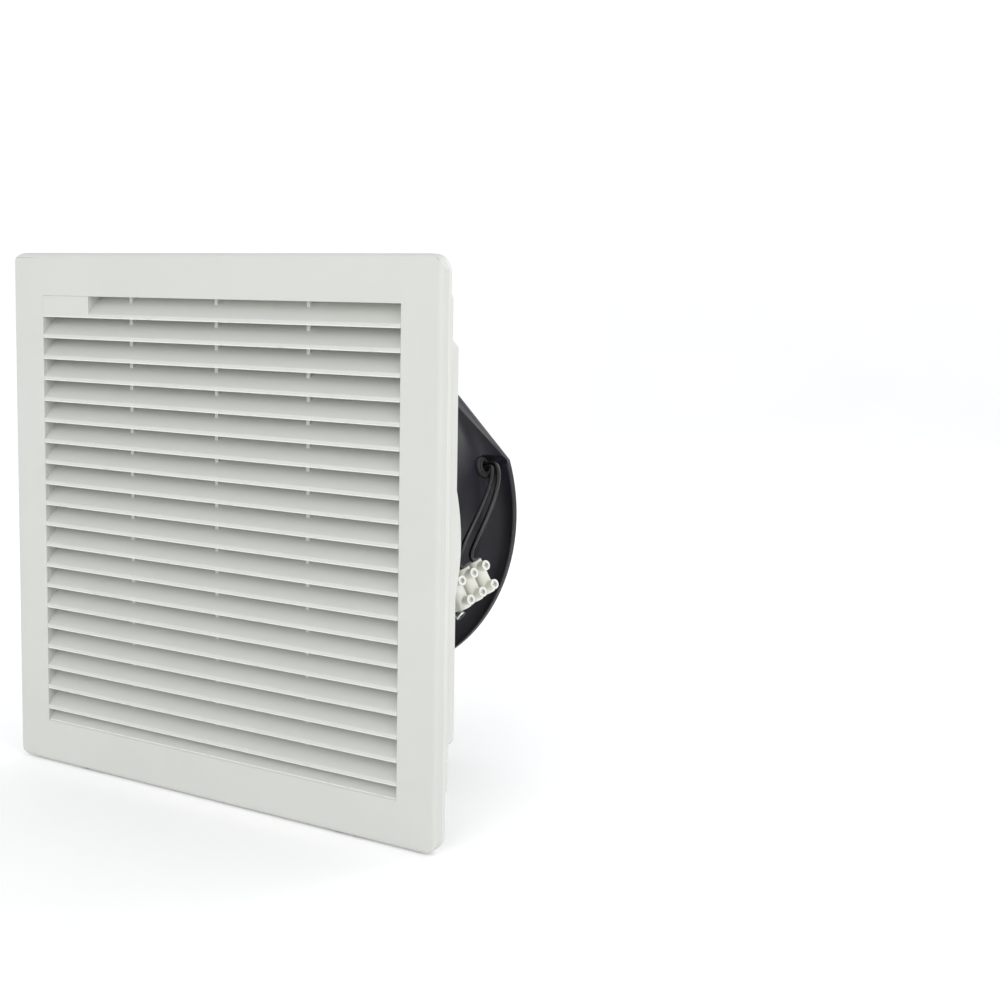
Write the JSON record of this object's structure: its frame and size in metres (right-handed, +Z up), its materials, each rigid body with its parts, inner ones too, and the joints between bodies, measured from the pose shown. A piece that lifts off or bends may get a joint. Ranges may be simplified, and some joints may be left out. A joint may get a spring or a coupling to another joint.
{
  "type": "filter fan",
  "caption": "Panel-mounted cabinet filter fan: hinged louvred cover, frame with mat tray and duct, snap clips and a black axial fan behind.",
  "frame": {"origin": "centre of the square panel cut-out, in the plane of the flange's rear face, which lies against the panel", "axes": "+Z up, +Y into the cabinet along the fan's axis, +X to the right seen from the front"},
  "size_m": [0.325, 0.1646, 0.325],
  "materials": {
    "cover_plastic": "fine satin grain",
    "frame_plastic": "satin",
    "mat_fibre": "loose felted fibre",
    "seal_foam": "closed-cell foam",
    "clip_plastic": "satin",
    "fan_black": "semi-gloss black",
    "rotor_black": "semi-gloss black",
    "blade_black": "satin",
    "cast_metal": "as cast",
    "core_steel": "stacked laminations",
    "winding_copper": "enamelled copper wire",
    "bearing_steel": "ground",
    "spring_steel": "blackened",
    "zinc_steel": "bright zinc",
    "guard_wire": "plated wire",
    "terminal_ivory": "moulded",
    "clamp_brass": "turned",
    "lead_black": "soft sheath",
    "grommet_rubber": "moulded"
  },
  "bodies": {
    "frame": {"filter_mat": "mat_fibre", "mounting_flange": "frame_plastic", "mat_tray": "frame_plastic", "support_grid": "frame_plastic", "fan_duct": "frame_plastic", "panel_gasket": "seal_foam", "hinge_pins": "zinc_steel", "clip_pins": "zinc_steel", "fan_barrel": "fan_black", "fan_front_flange": "fan_black", "fan_rear_flange": "fan_black", "fan_bosses": "fan_black", "fan_screws": "zinc_steel", "motor_bracket": "fan_black", "motor_flange": "cast_metal", "motor_screws": "zinc_steel", "stator_core": "core_steel", "stator_windings": "winding_copper", "front_bearing": "bearing_steel", "rear_bearing": "bearing_steel", "retaining_ring": "spring_steel", "terminal_block": "terminal_ivory", "terminal_clamps": "clamp_brass", "terminal_screws": "zinc_steel", "terminal_fixing_screw": "zinc_steel", "lead_live": "lead_black", "lead_neutral": "lead_black", "lead_sleeve": "lead_black", "cable_grommet": "grommet_rubber", "earth_screw": "zinc_steel", "finger_guard": "guard_wire", "guard_screws": "zinc_steel"},
    "cover": {"front_cover": "cover_plastic", "louvre_grille": "cover_plastic"},
    "rotor": {"rotor_shaft": "bearing_steel", "rotor_cup": "rotor_black", "rotor_ring": "core_steel", "impeller": "blade_black"},
    "clip_upper_left": {"snap_clip_upper_left": "clip_plastic"},
    "clip_upper_right": {"snap_clip_upper_right": "clip_plastic"},
    "clip_lower_left": {"snap_clip_lower_left": "clip_plastic"},
    "clip_lower_right": {"snap_clip_lower_right": "clip_plastic"}
  },
  "joints": [
    {"name": "cover_hinge", "type": "hinge", "parent": "frame", "child": "cover", "pos_m": [0, -0.005, -0.1605], "axis": [1, 0, 0], "range_deg": [0, 90]},
    {"name": "rotor_spin", "type": "hinge", "parent": "frame", "child": "rotor", "pos_m": [0, 0.11, 0], "axis": [0, 1, 0], "continuous": true},
    {"name": "clip_upper_left_flex", "type": "hinge", "parent": "frame", "child": "clip_upper_left", "pos_m": [-0.07, 0.02, 0.14275], "axis": [1, 0, 0], "range_deg": [0, 8], "stiffness_Nm_per_rad": 0.5, "springref_deg": -2.86},
    {"name": "clip_upper_right_flex", "type": "hinge", "parent": "frame", "child": "clip_upper_right", "pos_m": [0.07, 0.02, 0.14275], "axis": [1, 0, 0], "range_deg": [0, 8], "stiffness_Nm_per_rad": 0.5, "springref_deg": -2.86},
    {"name": "clip_lower_left_flex", "type": "hinge", "parent": "frame", "child": "clip_lower_left", "pos_m": [-0.07, 0.02, -0.14275], "axis": [-1, 0, 0], "range_deg": [0, 8], "stiffness_Nm_per_rad": 0.5, "springref_deg": -2.86},
    {"name": "clip_lower_right_flex", "type": "hinge", "parent": "frame", "child": "clip_lower_right", "pos_m": [0.07, 0.02, -0.14275], "axis": [-1, 0, 0], "range_deg": [0, 8], "stiffness_Nm_per_rad": 0.5, "springref_deg": -2.86}
  ]
}
